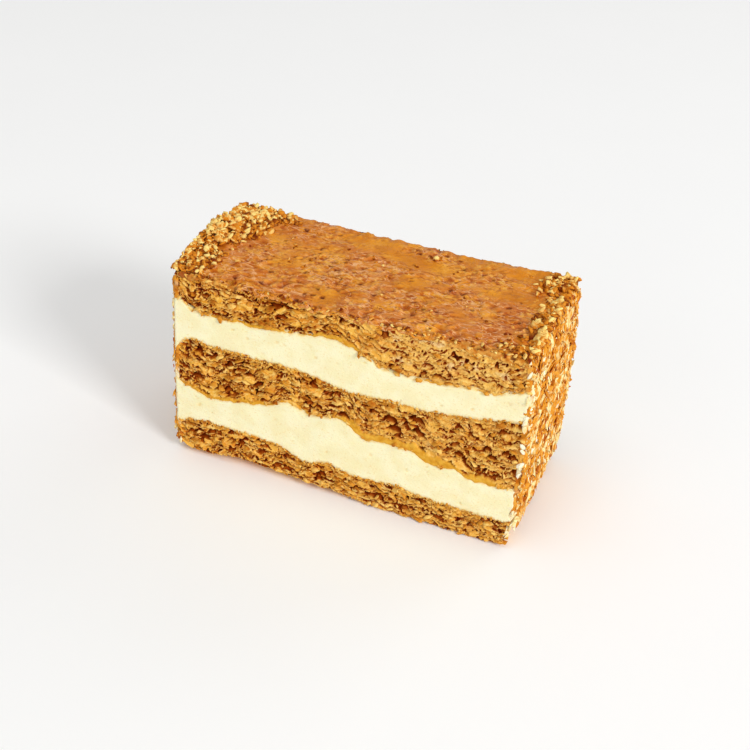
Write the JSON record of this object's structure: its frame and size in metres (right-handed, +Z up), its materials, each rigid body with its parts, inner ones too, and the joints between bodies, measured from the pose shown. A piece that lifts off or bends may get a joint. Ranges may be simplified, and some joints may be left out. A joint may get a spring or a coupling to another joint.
{
  "type": "mille feuille slice",
  "caption": "Bar-shaped slice of puff pastry sheets with custard cream between them, a caramel glazed top and crumb-coated ends.",
  "frame": {"origin": "under the middle of the slice, on the surface that it rests on", "axes": "+Z up, +X along the slice towards the end with the thicker crumb coat, +Y from the front cut face to the back one"},
  "size_m": [0.0958, 0.042, 0.056],
  "materials": {
    "pastry": "golden brown baked puff pastry, dry and flaky, with thin light flakes and dark hollows",
    "glazed_pastry": "puff pastry under a thin uneven caramel glaze, orange brown and softly glossy",
    "cream": "pale yellow custard cream, smooth and satin",
    "crumbs": "fine crushed puff pastry, pale gold to orange, dry"
  },
  "bodies": {
    "root": {"pastry_bottom": "pastry", "cream_lower": "cream", "pastry_middle": "pastry", "cream_upper": "cream", "pastry_top": "glazed_pastry", "crumb_coat_left": "crumbs", "crumb_coat_right": "crumbs"}
  },
  "joints": []
}
